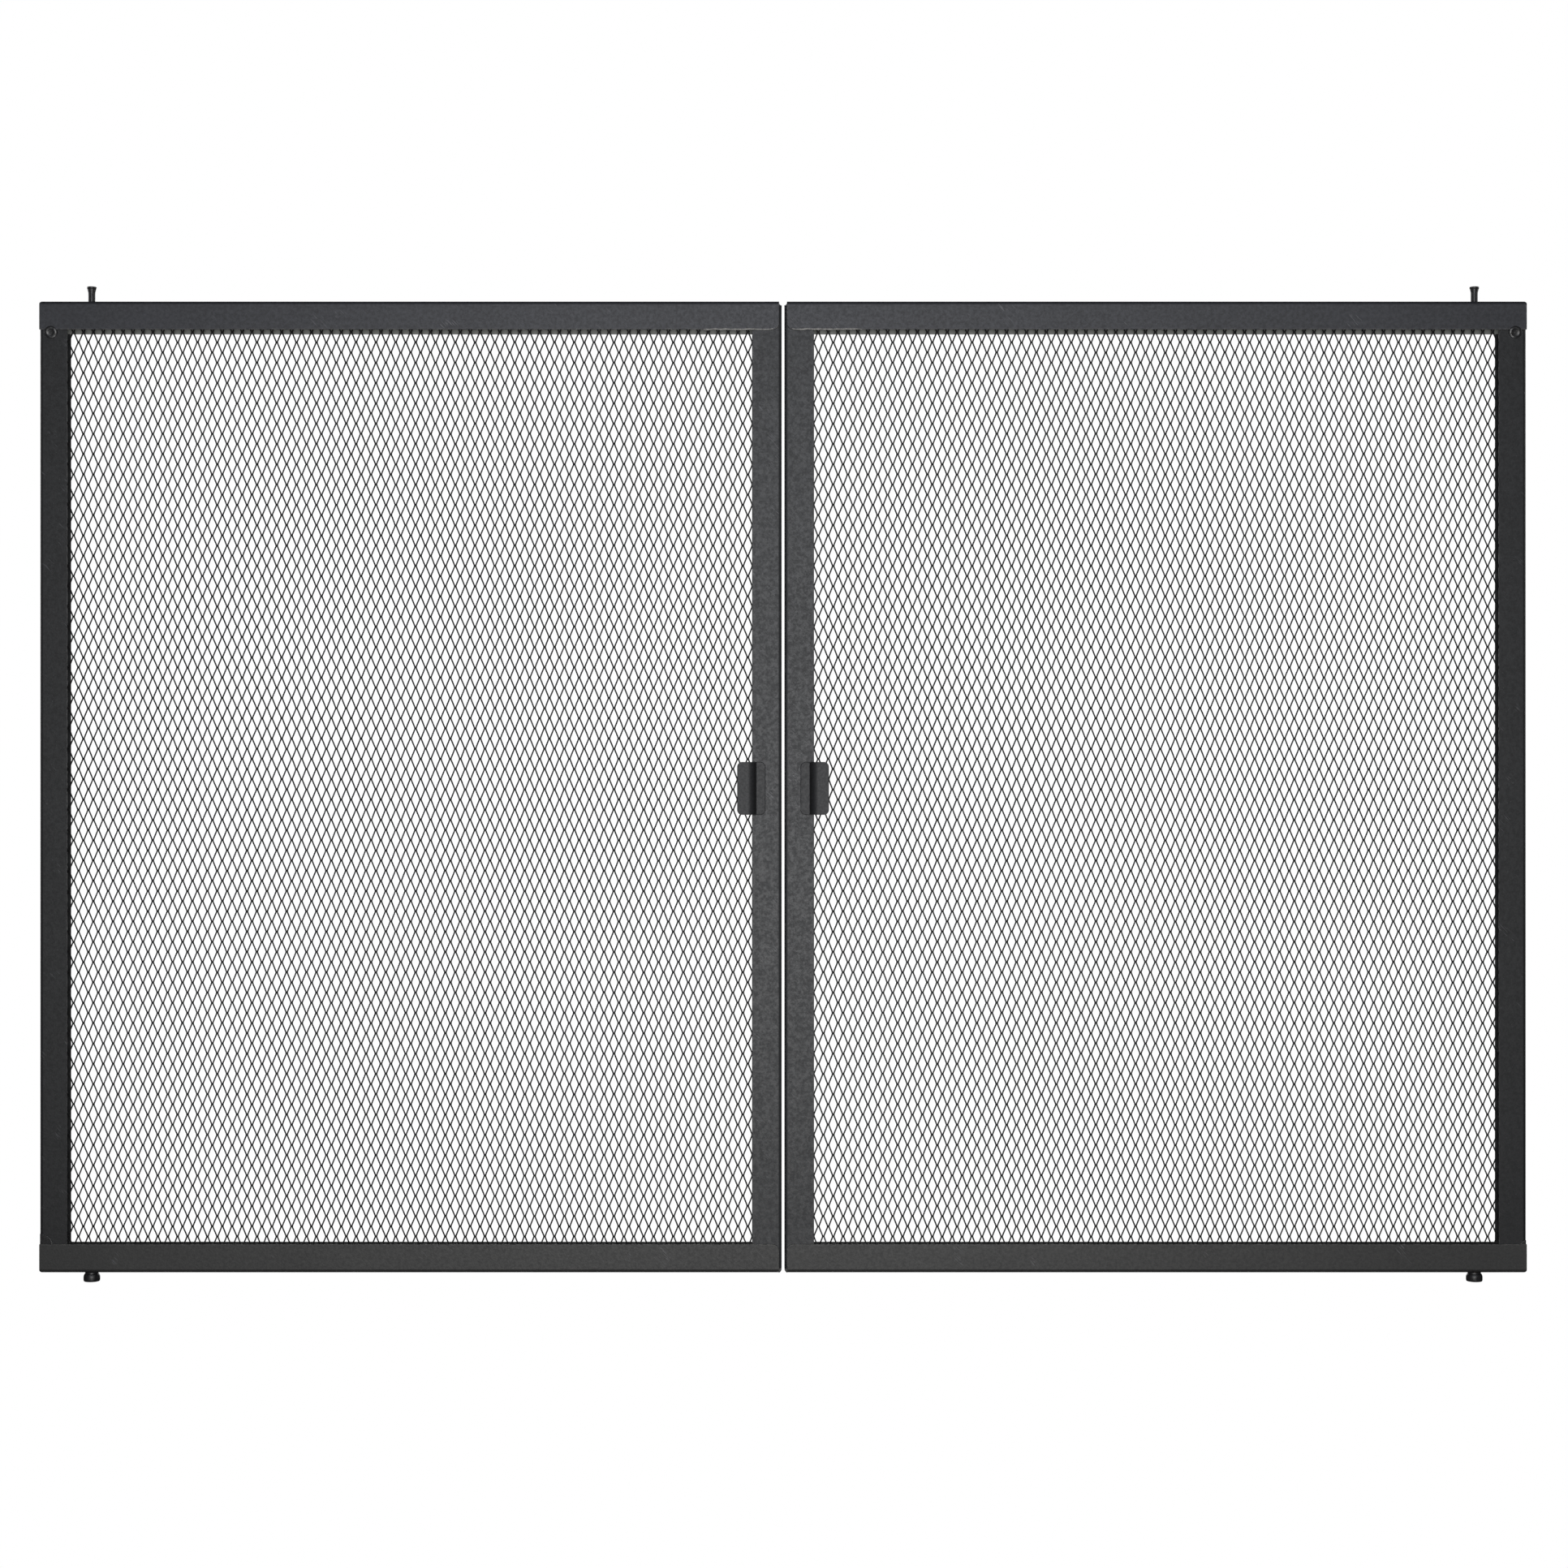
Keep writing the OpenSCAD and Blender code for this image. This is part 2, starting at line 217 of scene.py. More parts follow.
def blend_colour(tree, share, first, second):
    """Mixes two colours, each a socket or a tuple, by share."""
    node = add(tree, "ShaderNodeMix", data_type="RGBA")
    tree.links.new(share, node.inputs["Factor"])
    for socket, colour in ((node.inputs["A"], first), (node.inputs["B"], second)):
        if isinstance(colour, tuple):
            socket.default_value = colour
        else:
            tree.links.new(colour, socket)
    return node.outputs["Result"]


def sized_noise(tree, size_mm, detail=2.0, rough=0.5, stretch=(1, 1, 1), turn=(0, 0, 0)):
    """Noise in the object's own space, with features about size_mm wide, stretched and turned."""
    place = add(tree, "ShaderNodeTexCoord")
    frame_of_noise = add(tree, "ShaderNodeMapping", vector_type="TEXTURE")
    frame_of_noise.inputs["Scale"].default_value = stretch
    frame_of_noise.inputs["Rotation"].default_value = turn
    tree.links.new(place.outputs["Object"], frame_of_noise.inputs["Vector"])
    pattern = add(tree, "ShaderNodeTexNoise", {"Detail": detail, "Roughness": rough})
    tree.links.new(frame_of_noise.outputs["Vector"], pattern.inputs["Vector"])
    if isinstance(size_mm, (int, float)):
        pattern.inputs["Scale"].default_value = 1 / (size_mm * MM)
    else:
        tree.links.new(math_node(tree, "DIVIDE", 1 / MM, size_mm), pattern.inputs["Scale"])
    return pattern.outputs["Fac"]


def make_coat_grain():
    """Fine orange peel of a sprayed coat, with a few pale specks."""
    group, given, made = new_group(
        "coat_grain",
        {"Grain mm": 1.1, "Speck share": 0.3},
        {"Height": "NodeSocketFloat", "Shade": "NodeSocketFloat", "Speck": "NodeSocketFloat"},
    )
    grain_mm = given.outputs["Grain mm"]
    coarser, finer = 1.9, 0.55  # sizes of the other two noises, as shares of the grain
    peel = sized_noise(group, grain_mm, detail=3, rough=0.65)
    group.links.new(peel, made.inputs["Height"])
    coarse = sized_noise(group, math_node(group, "MULTIPLY", grain_mm, coarser))
    shade = math_node(group, "MULTIPLY", math_node(group, "ADD", peel, coarse), 0.5)
    group.links.new(ramp(group, shade, 0.40, 0.60), made.inputs["Shade"])
    fine = sized_noise(group, math_node(group, "MULTIPLY", grain_mm, finer))
    specks = math_node(group, "MULTIPLY", ramp(group, fine, 0.68, 0.78),
                       given.outputs["Speck share"])
    group.links.new(specks, made.inputs["Speck"])
    return group


def make_coat_drift():
    """Slow change of tone where the spray lay thicker or thinner."""
    group, given, made = new_group(
        "coat_drift", {"Patch mm": 60.0}, {"Drift": "NodeSocketFloat"})
    patches = sized_noise(group, given.outputs["Patch mm"], detail=2, rough=0.6)
    group.links.new(ramp(group, patches, 0.33, 0.67), made.inputs["Drift"])
    return group


def make_rub_marks():
    """Thin slanting scuffs, in a few patches only."""
    group, given, made = new_group(
        "rub_marks", {"Share": 0.5}, {"Mask": "NodeSocketFloat"})
    line_mm, patch_mm, slant = 0.5, 13.0, math.radians(45)
    lines = sized_noise(group, line_mm, detail=1, stretch=(12, 1, 1), turn=(0, slant, 0))
    where = sized_noise(group, patch_mm, detail=1)
    thin = math_node(group, "MULTIPLY", ramp(group, lines, 0.60, 0.72),
                     ramp(group, where, 0.64, 0.74))
    group.links.new(math_node(group, "MULTIPLY", thin, given.outputs["Share"]),
                    made.inputs["Mask"])
    return group


def make_edge_wear_and_highlight():
    """Marks the cut edges and corners, where the coat is worn thin and a pale painted highlight is
    laid.
    """
    group, given, made = new_group(
        "edge_wear_and_highlight", {"Share": 0.6}, {"Mask": "NodeSocketFloat"})
    reach_mm, break_mm = 0.7, 2.5
    just_turned, well_turned = 0.985, 0.88  # cosines between the soft and the true normal
    soft = add(group, "ShaderNodeBevel", {"Radius": reach_mm * MM}, samples=4)
    true_normal = add(group, "ShaderNodeNewGeometry")
    turned_by = add(group, "ShaderNodeVectorMath", operation="DOT_PRODUCT")
    group.links.new(soft.outputs["Normal"], turned_by.inputs[0])
    group.links.new(true_normal.outputs["Normal"], turned_by.inputs[1])
    edge = ramp(group, turned_by.outputs["Value"], just_turned, well_turned)
    broken = ramp(group, sized_noise(group, break_mm), 0.35, 0.6)
    both = math_node(group, "MULTIPLY", edge, broken)
    group.links.new(math_node(group, "MULTIPLY", both, given.outputs["Share"]),
                    made.inputs["Mask"])
    return group


def make_inside_mask():
    """Marks the sheet of a rail that lies further back than a depth and faces the room, where a
    paler colour is painted as painted light.
    """
    group, given, made = new_group(
        "inside_mask", {"Depth mm": 3.0}, {"Mask": "NodeSocketFloat"})
    place = add(group, "ShaderNodeTexCoord")
    spot, facing = add(group, "ShaderNodeSeparateXYZ"), add(group, "ShaderNodeSeparateXYZ")
    group.links.new(place.outputs["Object"], spot.inputs["Vector"])
    group.links.new(place.outputs["Normal"], facing.inputs["Vector"])
    depth = math_node(group, "MULTIPLY", given.outputs["Depth mm"], MM)
    behind = math_node(group, "GREATER_THAN", spot.outputs["Y"], depth)
    mostly_forward = -0.7
    roomward = math_node(group, "LESS_THAN", facing.outputs["Y"], mostly_forward)
    group.links.new(math_node(group, "MULTIPLY", behind, roomward), made.inputs["Mask"])
    return group


def make_metal_mottle():
    """Cloudy spots of plated or oxidised metal, and fine drawn lines."""
    group, given, made = new_group(
        "metal_mottle", {"Spot mm": 2.0, "Line mm": 0.25},
        {"Spots": "NodeSocketFloat", "Lines": "NodeSocketFloat"})
    spots = sized_noise(group, given.outputs["Spot mm"], detail=5, rough=0.7)
    group.links.new(ramp(group, spots, 0.36, 0.66), made.inputs["Spots"])
    lines = sized_noise(group, given.outputs["Line mm"], detail=2, stretch=(25, 1, 1))
    group.links.new(lines, made.inputs["Lines"])
    return group


# ---------------------------------------------------------------- finishes

def use(tree, group, **values):
    """Places a shader group in a material with its own values; underscores stand for spaces."""
    node = tree.nodes.new("ShaderNodeGroup")
    node.node_tree = group
    for key, value in values.items():
        node.inputs[key.replace("_", " ")].default_value = value
    return node.outputs


def start_finish(name, **constants):
    """A material with its shader, and the values that are the same all over it."""
    material = bpy.data.materials.new(name)
    material.use_nodes = True
    tree = material.node_tree
    shader = tree.nodes["Principled BSDF"]
    for key, value in constants.items():
        shader.inputs[key.replace("_", " ")].default_value = value
    return material, tree, shader


def bump_from(tree, shader, height, strength, depth_mm):
    """Raises and sinks a finish by a height that changes over the surface."""
    bump = add(tree, "ShaderNodeBump", {"Strength": strength, "Distance": depth_mm * MM})
    tree.links.new(height, bump.inputs["Height"])
    tree.links.new(bump.outputs["Normal"], shader.inputs["Normal"])


def grey(red, green, blue):
    """An opaque colour close to grey."""
    return (red, green, blue, 1)


ROUGH_SWING = 0.07  # how far roughness strays either way over a finish
# the third colour is the worn-thin cut edge, and also a painted highlight along it
SPECK, RUBBED, THIN_COAT_AND_HIGHLIGHT = grey(0.16, 0.16, 0.17), grey(0.22, 0.22, 0.24), grey(0.42, 0.41, 0.39)


def frame_coat(name, dark, light, rough, groups, edge_wear_and_highlight_share=0.5, inside=None):
    """Satin black paint, slightly grainy; cut edges worn thin with a painted highlight; back
    flange may be painted paler as painted light.
    """
    material, tree, shader = start_finish(name, IOR=1.5)
    grain = use(tree, groups["grain"], Grain_mm=1.2, Speck_share=0.3)
    drift = use(tree, groups["drift"], Patch_mm=55.0)
    rubs = use(tree, groups["rubs"], Share=0.35)
    edges = use(tree, groups["edges"], Share=edge_wear_and_highlight_share)
    drift_share, grain_share = 0.35, 0.65
    tone = math_node(tree, "ADD", math_node(tree, "MULTIPLY", drift["Drift"], drift_share),
                     math_node(tree, "MULTIPLY", grain["Shade"], grain_share))
    colour = blend_colour(tree, tone, dark, light)
    if inside:
        # the back flange's forward face is painted paler, as painted light on a face in shade
        flange = use(tree, groups["inside"], Depth_mm=3.0)
        colour = blend_colour(tree, flange["Mask"], colour, inside)
    colour = blend_colour(tree, grain["Speck"], colour, SPECK)
    colour = blend_colour(tree, rubs["Mask"], colour, RUBBED)
    # pale cut edges: worn-thin coat, and a painted highlight
    colour = blend_colour(tree, edges["Mask"], colour, THIN_COAT_AND_HIGHLIGHT)
    tree.links.new(colour, shader.inputs["Base Color"])
    tree.links.new(ramp(tree, grain["Shade"], 0, 1, rough + ROUGH_SWING, rough - ROUGH_SWING),
                   shader.inputs["Roughness"])
    bump_from(tree, shader, grain["Height"], 0.7, 0.09)
    return material


def strand_coat(groups):
    """Thin black paint on the expanded metal."""
    material, tree, shader = start_finish("strand_coat", IOR=1.5)
    drift = use(tree, groups["drift"], Patch_mm=14.0)
    colour = blend_colour(tree, drift["Drift"], grey(0.006, 0.006, 0.0065),
                          grey(0.012, 0.012, 0.0115))
    tree.links.new(colour, shader.inputs["Base Color"])
    tree.links.new(ramp(tree, drift["Drift"], 0, 1, 0.42, 0.56), shader.inputs["Roughness"])
    return material


def handle_coat(groups):
    """Smooth satin paint of the handles, a shade lighter than the frame."""
    material, tree, shader = start_finish("handle_coat", IOR=1.5)
    grain = use(tree, groups["grain"], Grain_mm=0.8, Speck_share=0.15)
    edges = use(tree, groups["edges"], Share=0.6)
    colour = blend_colour(tree, grain["Shade"], grey(0.017, 0.018, 0.020),
                          grey(0.028, 0.029, 0.031))
    # pale handle edges: worn-thin coat, and a painted highlight
    colour = blend_colour(tree, edges["Mask"], colour, grey(0.13, 0.13, 0.14))
    tree.links.new(colour, shader.inputs["Base Color"])
    tree.links.new(ramp(tree, grain["Shade"], 0, 1, 0.60, 0.52), shader.inputs["Roughness"])
    bump_from(tree, shader, grain["Height"], 0.2, 0.05)
    return material


def metal_finish(name, dark, light, rough, groups, metallic=1.0, spot_mm=2.0, line_mm=0.25,
                 line_strength=0.15):
    """Bare, plated or blackened metal: cloudy colour and fine turning lines."""
    material, tree, shader = start_finish(name, Metallic=metallic, IOR=1.5)
    mottle = use(tree, groups["mottle"], Spot_mm=spot_mm, Line_mm=line_mm)
    tree.links.new(blend_colour(tree, mottle["Spots"], dark, light), shader.inputs["Base Color"])
    tree.links.new(ramp(tree, mottle["Spots"], 0, 1, rough - ROUGH_SWING, rough + ROUGH_SWING),
                   shader.inputs["Roughness"])
    bump_from(tree, shader, mottle["Lines"], line_strength, 0.03)
    return material


def mix_finishes():
    """All the finishes, by the name of what they are used on."""
    groups = {
        "grain": make_coat_grain(), "drift": make_coat_drift(), "rubs": make_rub_marks(),
        "edges": make_edge_wear_and_highlight(), "mottle": make_metal_mottle(), "inside": make_inside_mask(),
    }
    return {
        # one paint in two tones: the outer stiles painted darker as painted shade, the inner ones
        # paler as painted light falling off from the middle
        "outer_stile": frame_coat("outer_stile_coat_painted_shade", grey(0.005, 0.0056, 0.0064),
                                  grey(0.011, 0.012, 0.0135), 0.54, groups, 0.15),
        "inner_stile": frame_coat("inner_stile_coat_painted_light", grey(0.016, 0.017, 0.019),
                                  grey(0.032, 0.034, 0.037), 0.50, groups, 0.35),
        # the top rail is painted a shade bluer than the bottom rail, as painted cool light from
        # above
        "top_rail": frame_coat("top_rail_coat_painted_light", grey(0.018, 0.019, 0.023),
                               grey(0.036, 0.038, 0.046), 0.46, groups, 0.8,
                               # pale back colour: painted light on the top rail's shaded back
                               # flange
                               grey(0.26, 0.27, 0.25)),
        "bottom_rail": frame_coat("bottom_rail_coat", grey(0.020, 0.020, 0.020),
                                  grey(0.040, 0.040, 0.039), 0.46, groups, 0.8),
        "weld": frame_coat("weld_coat", grey(0.014, 0.014, 0.015),
                           grey(0.030, 0.030, 0.031), 0.30, groups, 0.0),
        # the seam's pale coat is a painted highlight along the top rail's lower edge
        "seam": frame_coat("seam_painted_highlight_coat", grey(0.10, 0.10, 0.10),
                           grey(0.40, 0.39, 0.37), 0.34, groups, 0.0),
        "strands": strand_coat(groups),
        "handle": handle_coat(groups),
        "black": metal_finish("oiled_black_steel", grey(0.010, 0.010, 0.011),
                              grey(0.022, 0.022, 0.023), 0.38, groups, metallic=0.0),
        "zinc": metal_finish("zinc_plate", grey(0.30, 0.31, 0.32),
                             grey(0.48, 0.49, 0.50), 0.42, groups),
        "wire": metal_finish("spring_wire", grey(0.42, 0.42, 0.43),
                             grey(0.56, 0.56, 0.57), 0.28, groups, spot_mm=1.0),
        "bronze": metal_finish("oiled_bronze", grey(0.20, 0.14, 0.075),
                               grey(0.36, 0.26, 0.14), 0.46, groups, spot_mm=0.6),
        "magnet": metal_finish("mottled_plating", grey(0.10, 0.10, 0.094),
                               grey(0.28, 0.275, 0.26), 0.55, groups, spot_mm=1.6,
                               line_mm=0.3, line_strength=0.3),
    }


# ---------------------------------------------------------------- making pieces

def set_piece(name, shape, body, finish, stands_for=(), smooth=True):
    """Turns a worked shape into a piece that rides on a body."""
    mesh = bpy.data.meshes.new(name)
    if isinstance(shape, bmesh.types.BMesh):
        shape.to_mesh(mesh)
        shape.free()
    else:
        mesh.from_pydata(*shape)
    mesh.materials.append(finish)
    mesh.polygons.foreach_set("use_smooth", [smooth] * len(mesh.polygons))
    piece = bpy.data.objects.new(name, mesh)
    scene.collection.objects.link(piece)
    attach(piece, body)
    if stands_for:
        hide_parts(*stands_for)
    return piece


def keep_faces_flat(piece):
    """Lets the broad faces shade flat, and only the eased edges round."""
    piece.modifiers.new("flat_faces", "WEIGHTED_NORMAL").weight = 100


def ease_sheet(node, body, finish, ease_mm):
    """A folded or cut sheet with its sharp edges eased, as a thick coat leaves them."""
    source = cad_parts[node].data
    flat_angle, fold_angle = math.radians(0.5), math.radians(35)
    shape = bmesh.new()
    corners = [shape.verts.new(v.co) for v in source.vertices]
    for face in source.polygons:
        shape.faces.new([corners[i] for i in face.vertices])
    bmesh.ops.remove_doubles(shape, verts=shape.verts, dist=0.001 * MM)
    bmesh.ops.dissolve_limit(shape, angle_limit=flat_angle, verts=shape.verts, edges=shape.edges)
    sharp = [e for e in shape.edges
             if len(e.link_faces) == 2 and e.calc_face_angle() > fold_angle]
    bmesh.ops.bevel(shape, geom=sharp, offset=ease_mm * MM, offset_type="OFFSET", segments=3,
                    profile=0.5, affect="EDGES", clamp_overlap=False)
    bmesh.ops.recalc_face_normals(shape, faces=shape.faces)
    keep_faces_flat(set_piece(node + "_coated", shape, body, finish, [node]))


def ease_profile(points, radius, steps=4):
    """Rounds the corners of a profile of (radius, distance) points, but not its two ends."""
    longest = 0.45  # share of a side that one rounding may take
    eased = [Vector(points[0])]
    for before, corner, after in zip(points, points[1:], points[2:]):
        before, corner, after = Vector(before), Vector(corner), Vector(after)
        back, ahead = before - corner, after - corner
        reach = min(radius, back.length * longest, ahead.length * longest)
        start, end = corner + back.normalized() * reach, corner + ahead.normalized() * reach
        for i in range(steps + 1):
            t = i / steps
            eased.append(start * (1 - t) ** 2 + corner * 2 * t * (1 - t) + end * t ** 2)
    return eased + [Vector(points[-1])]


def turn_on_lathe(profile, centre, along=(0, 0, 1), sides=48):
    """A turned shape from (radius, distance) points about an axis through centre."""
    on_axis = 1e-7
    shape = bmesh.new()
    stand = Vector((0, 0, 1)).rotation_difference(Vector(along)).to_matrix()
    rings = []
    for radius, distance in profile:
        if radius < on_axis:
            rings.append([shape.verts.new(stand @ Vector((0, 0, distance)) + Vector(centre))])
            continue
        ring = []
        for i in range(sides):
            a = math.tau * i / sides
            spot = Vector((radius * math.cos(a), radius * math.sin(a), distance))
            ring.append(shape.verts.new(stand @ spot + Vector(centre)))
        rings.append(ring)
    for lower, upper in zip(rings, rings[1:]):
        for i in range(sides):
            k = (i + 1) % sides
            around = [lower[i % len(lower)], lower[k % len(lower)],
                      upper[k % len(upper)], upper[i % len(upper)]]
            shape.faces.new(list(dict.fromkeys(around)))
    bmesh.ops.recalc_face_normals(shape, faces=shape.faces)
    return shape


def skin_tube(shape, rings):
    """Joins a row of equal rings into a tube and closes its ends."""
    for lower, upper in zip(rings, rings[1:]):
        for j in range(len(lower)):
            m = (j + 1) % len(lower)
            shape.faces.new((lower[j], lower[m], upper[m], upper[j]))
    shape.faces.new(rings[0][::-1])
    shape.faces.new(rings[-1])


# ---------------------------------------------------------------- expanded metal

STRAND_W, STRAND_T, STRAND_TURN = 0.92 * MM, 0.3 * MM, math.radians(22)
DIAMOND_W, DIAMOND_H = 6.1 * MM, 12.5 * MM
BOND, BOND_LAP = 0.6 * MM, 0.04 * MM  # height of a bond, and how far its two strands overlap
WANDER_X, WANDER_Z = 0.07, 0.12  # mm that a bond strays either way


def stretch_sheet(side):
    """Slit and stretched sheet: zigzag strands that meet their neighbours at the bonds."""
    way = SIDES[side]
    low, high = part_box(side + "_mesh_panel")
    inner, outer = sorted((abs(low.x), abs(high.x)))
    strand_face = Vector((math.cos(STRAND_TURN), math.sin(STRAND_TURN)))
    strand_edge = Vector((-strand_face.y, strand_face.x))
    corners = [strand_face * STRAND_W / 2 * a + strand_edge * STRAND_T / 2 * b
               for a, b in ((-1, -1), (1, -1), (1, 1), (-1, 1))]
    half_step = strand_face * (STRAND_W - BOND_LAP) / 2
    depth = max(c.y for c in corners) + half_step.y
    middle_y = low.y + depth
    halves = {"lower": (low.z, (low.z + high.z) / 2), "upper": ((low.z + high.z) / 2, high.z)}
    chance = Random(11 + way)
    count = int((outer - inner) / (DIAMOND_W / 2)) - 1
    steps = int((high.z - low.z) / (DIAMOND_H / 2)) + 2
    wander = [[(chance.uniform(-WANDER_X, WANDER_X) * MM, chance.uniform(-WANDER_Z, WANDER_Z) * MM)
               for _ in range(int((high.z - low.z) / DIAMOND_H * 2) + 4)]
              for _ in range(count + 2)]
    for part, (bottom, top) in halves.items():
        points, faces = [], []
        for k in range(count):
            x = inner + (k + 1) * DIAMOND_W / 2
            rings = []
            for n in range(steps):
                bond_z = low.z + (n - 0.5) * DIAMOND_H / 2
                meets_next = (n + k) % 2 == 0
                lean = 1 if meets_next else -1
                shift = wander[k + meets_next][n]
                for end in (-0.5, 0.5):
                    spot_x = x + lean * (DIAMOND_W / 4 - half_step.x) + shift[0]
                    rings.append((spot_x, middle_y - lean * half_step.y,
                                  bond_z + end * BOND + shift[1]))
            rings = clip_strand(rings, bottom, top)
            first = len(points)
            for cx, cy, cz in rings:
                points += [((cx + c.x) * way, cy + c.y, cz) for c in corners]
            for i in range(len(rings) - 1):
                a, b = first + 4 * i, first + 4 * i + 4
                for j in range(4):
                    m = (j + 1) % 4
                    faces.append((a + j, a + m, b + m, b + j)[::way])
            last = len(points) - 4
            faces.append((first + 3, first + 2, first + 1, first)[::way])
            faces.append((last, last + 1, last + 2, last + 3)[::way])
        set_piece(f"{side}_expanded_metal_{part}", (points, [], faces), side + "_leaf",
                  finishes["strands"], [side + "_mesh_panel"], smooth=False)


def clip_strand(rings, bottom, top):
    """The part of a strand between two heights, with a ring set on each cut."""
    kept = []
    for (ax, ay, az), (bx, by, bz) in zip(rings, rings[1:]):
        for cut in (bottom, top):
            if az < cut < bz:
                t = (cut - az) / (bz - az)
                kept.append((ax + (bx - ax) * t, ay + (by - ay) * t, cut))
        if bottom <= bz <= top:
            kept.append((bx, by, bz))
    return sorted(set(kept), key=lambda ring: ring[2])


# ---------------------------------------------------------------- welds

def bead(shape, path, radius, seed, ripple=0.12, pitch=1.4 * MM):
    """A weld run along a path of points, rippled where each drop froze on the last."""
    sides, tip, taper_rings = 10, 0.12, 6
    lump_scale, lump_share = 260, 0.5
    spots = []
    for a, b in zip(path, path[1:]):
        a, b = Vector(a), Vector(b)
        steps = max(2, int((b - a).length / (pitch / 5)))
        spots += [a.lerp(b, i / steps) for i in range(steps)]
    spots.append(Vector(path[-1]))
    length, rings = 0, []
    for i, spot in enumerate(spots):
        ahead = spots[min(i + 1, len(spots) - 1)] - spots[max(i - 1, 0)]
        run = ahead.normalized()
        length += (spot - spots[max(i - 1, 0)]).length
        across = run.cross(Vector((0, 1, 0))).normalized()
        out = across.cross(run)
        near_end = min(i, len(spots) - 1 - i) / taper_rings
        taper = math.sqrt(min(1, tip + near_end))
        wave = 1 + ripple * math.sin(math.tau * length / pitch)
        wave += lump_share * noise.noise(spot * lump_scale + Vector((seed, 0, 0)))
        size = radius * taper * wave
        ring = []
        for j in range(sides):
            a = math.tau * j / sides
            rim = spot + across * size * math.cos(a) + out * size * math.sin(a)
            ring.append(shape.verts.new(rim))
        rings.append(ring)
    skin_tube(shape, rings)


def crater(shape, centre, inner_r, outer_r, height, step, seed):
    """A plug weld: a dished middle inside an uneven ring, facing -Y, draped down a step."""
    sides, steps = 40, 12
    crest_width, floor_share, sunk = 0.2, 0.25, 0.4 * MM
    lump_scale, lump_share = 1.4, 0.5
    rings = []
    for s in range(steps + 1):
        r = outer_r * s / steps
        crest = math.exp(-((r - inner_r) / (crest_width * outer_r)) ** 2)
        ring = []
        for i in range(sides if s else 1):
            a = math.tau * i / sides
            around_it = Vector((math.cos(a), math.sin(a), seed))
            swell = 1 + lump_share * noise.noise(around_it * lump_scale)
            rise = height * (floor_share + (1 - floor_share) * crest * swell)
            if s == steps:
                rise = -sunk
            x, z = r * math.cos(a), r * math.sin(a)
            drop = step * min(1, max(0, 0.5 - z / outer_r))
            ring.append(shape.verts.new(Vector(centre) + Vector((x, drop - rise, z))))
        rings.append(ring)
    for lower, upper in zip(rings, rings[1:]):
        for i in range(sides):
            k = (i + 1) % sides
            around = [lower[i % len(lower)], upper[i], upper[k], lower[k % len(lower)]]
            shape.faces.new(list(dict.fromkeys(around)))
    shape.faces.new(rings[-1][::-1])


def filled_corner(shape, outline, front, back, ease_mm):
    """A block of weld metal: an outline in the leaf's plane, given depth and eased."""
    block = bmesh.new()
    near = [block.verts.new((x, front, z)) for x, z in outline]
    far = [block.verts.new((x, back, z)) for x, z in outline]
    block.faces.new(near)
    block.faces.new(far[::-1])
    for i in range(len(outline)):
        k = (i + 1) % len(outline)
        block.faces.new((near[k], near[i], far[i], far[k]))
    bmesh.ops.recalc_face_normals(block, faces=block.faces)
    sharp = [e for e in block.edges if e.calc_face_angle() > math.radians(40)]
    bmesh.ops.bevel(block, geom=sharp, offset=ease_mm * MM, segments=3, profile=0.5,
                    affect="EDGES", clamp_overlap=True)
    mesh = bpy.data.meshes.new("corner_block")
    block.to_mesh(mesh)
    block.free()
    shape.from_mesh(mesh)
    bpy.data.meshes.remove(mesh)


def quarter(centre, radii, start, steps=8):
    """Points of a quarter ellipse, from start degrees on."""
    (x, z), (wide, high) = centre, radii
    turn = [math.radians(start + 90 * i / steps) for i in range(steps + 1)]
    return [(x + wide * math.cos(a), z + high * math.sin(a)) for a in turn]


def set_weld(side, name, metal, finish):
    """Sets a weld on its leaf; all welds are made for the right one, and mirrored for the left."""
    if SIDES[side] < 0:
        bmesh.ops.scale(metal, vec=(-1, 1, 1), verts=metal.verts)
        bmesh.ops.reverse_faces(metal, faces=metal.faces)
    keep_faces_flat(set_piece(f"{side}_{name}", metal, side + "_leaf", finishes[finish]))


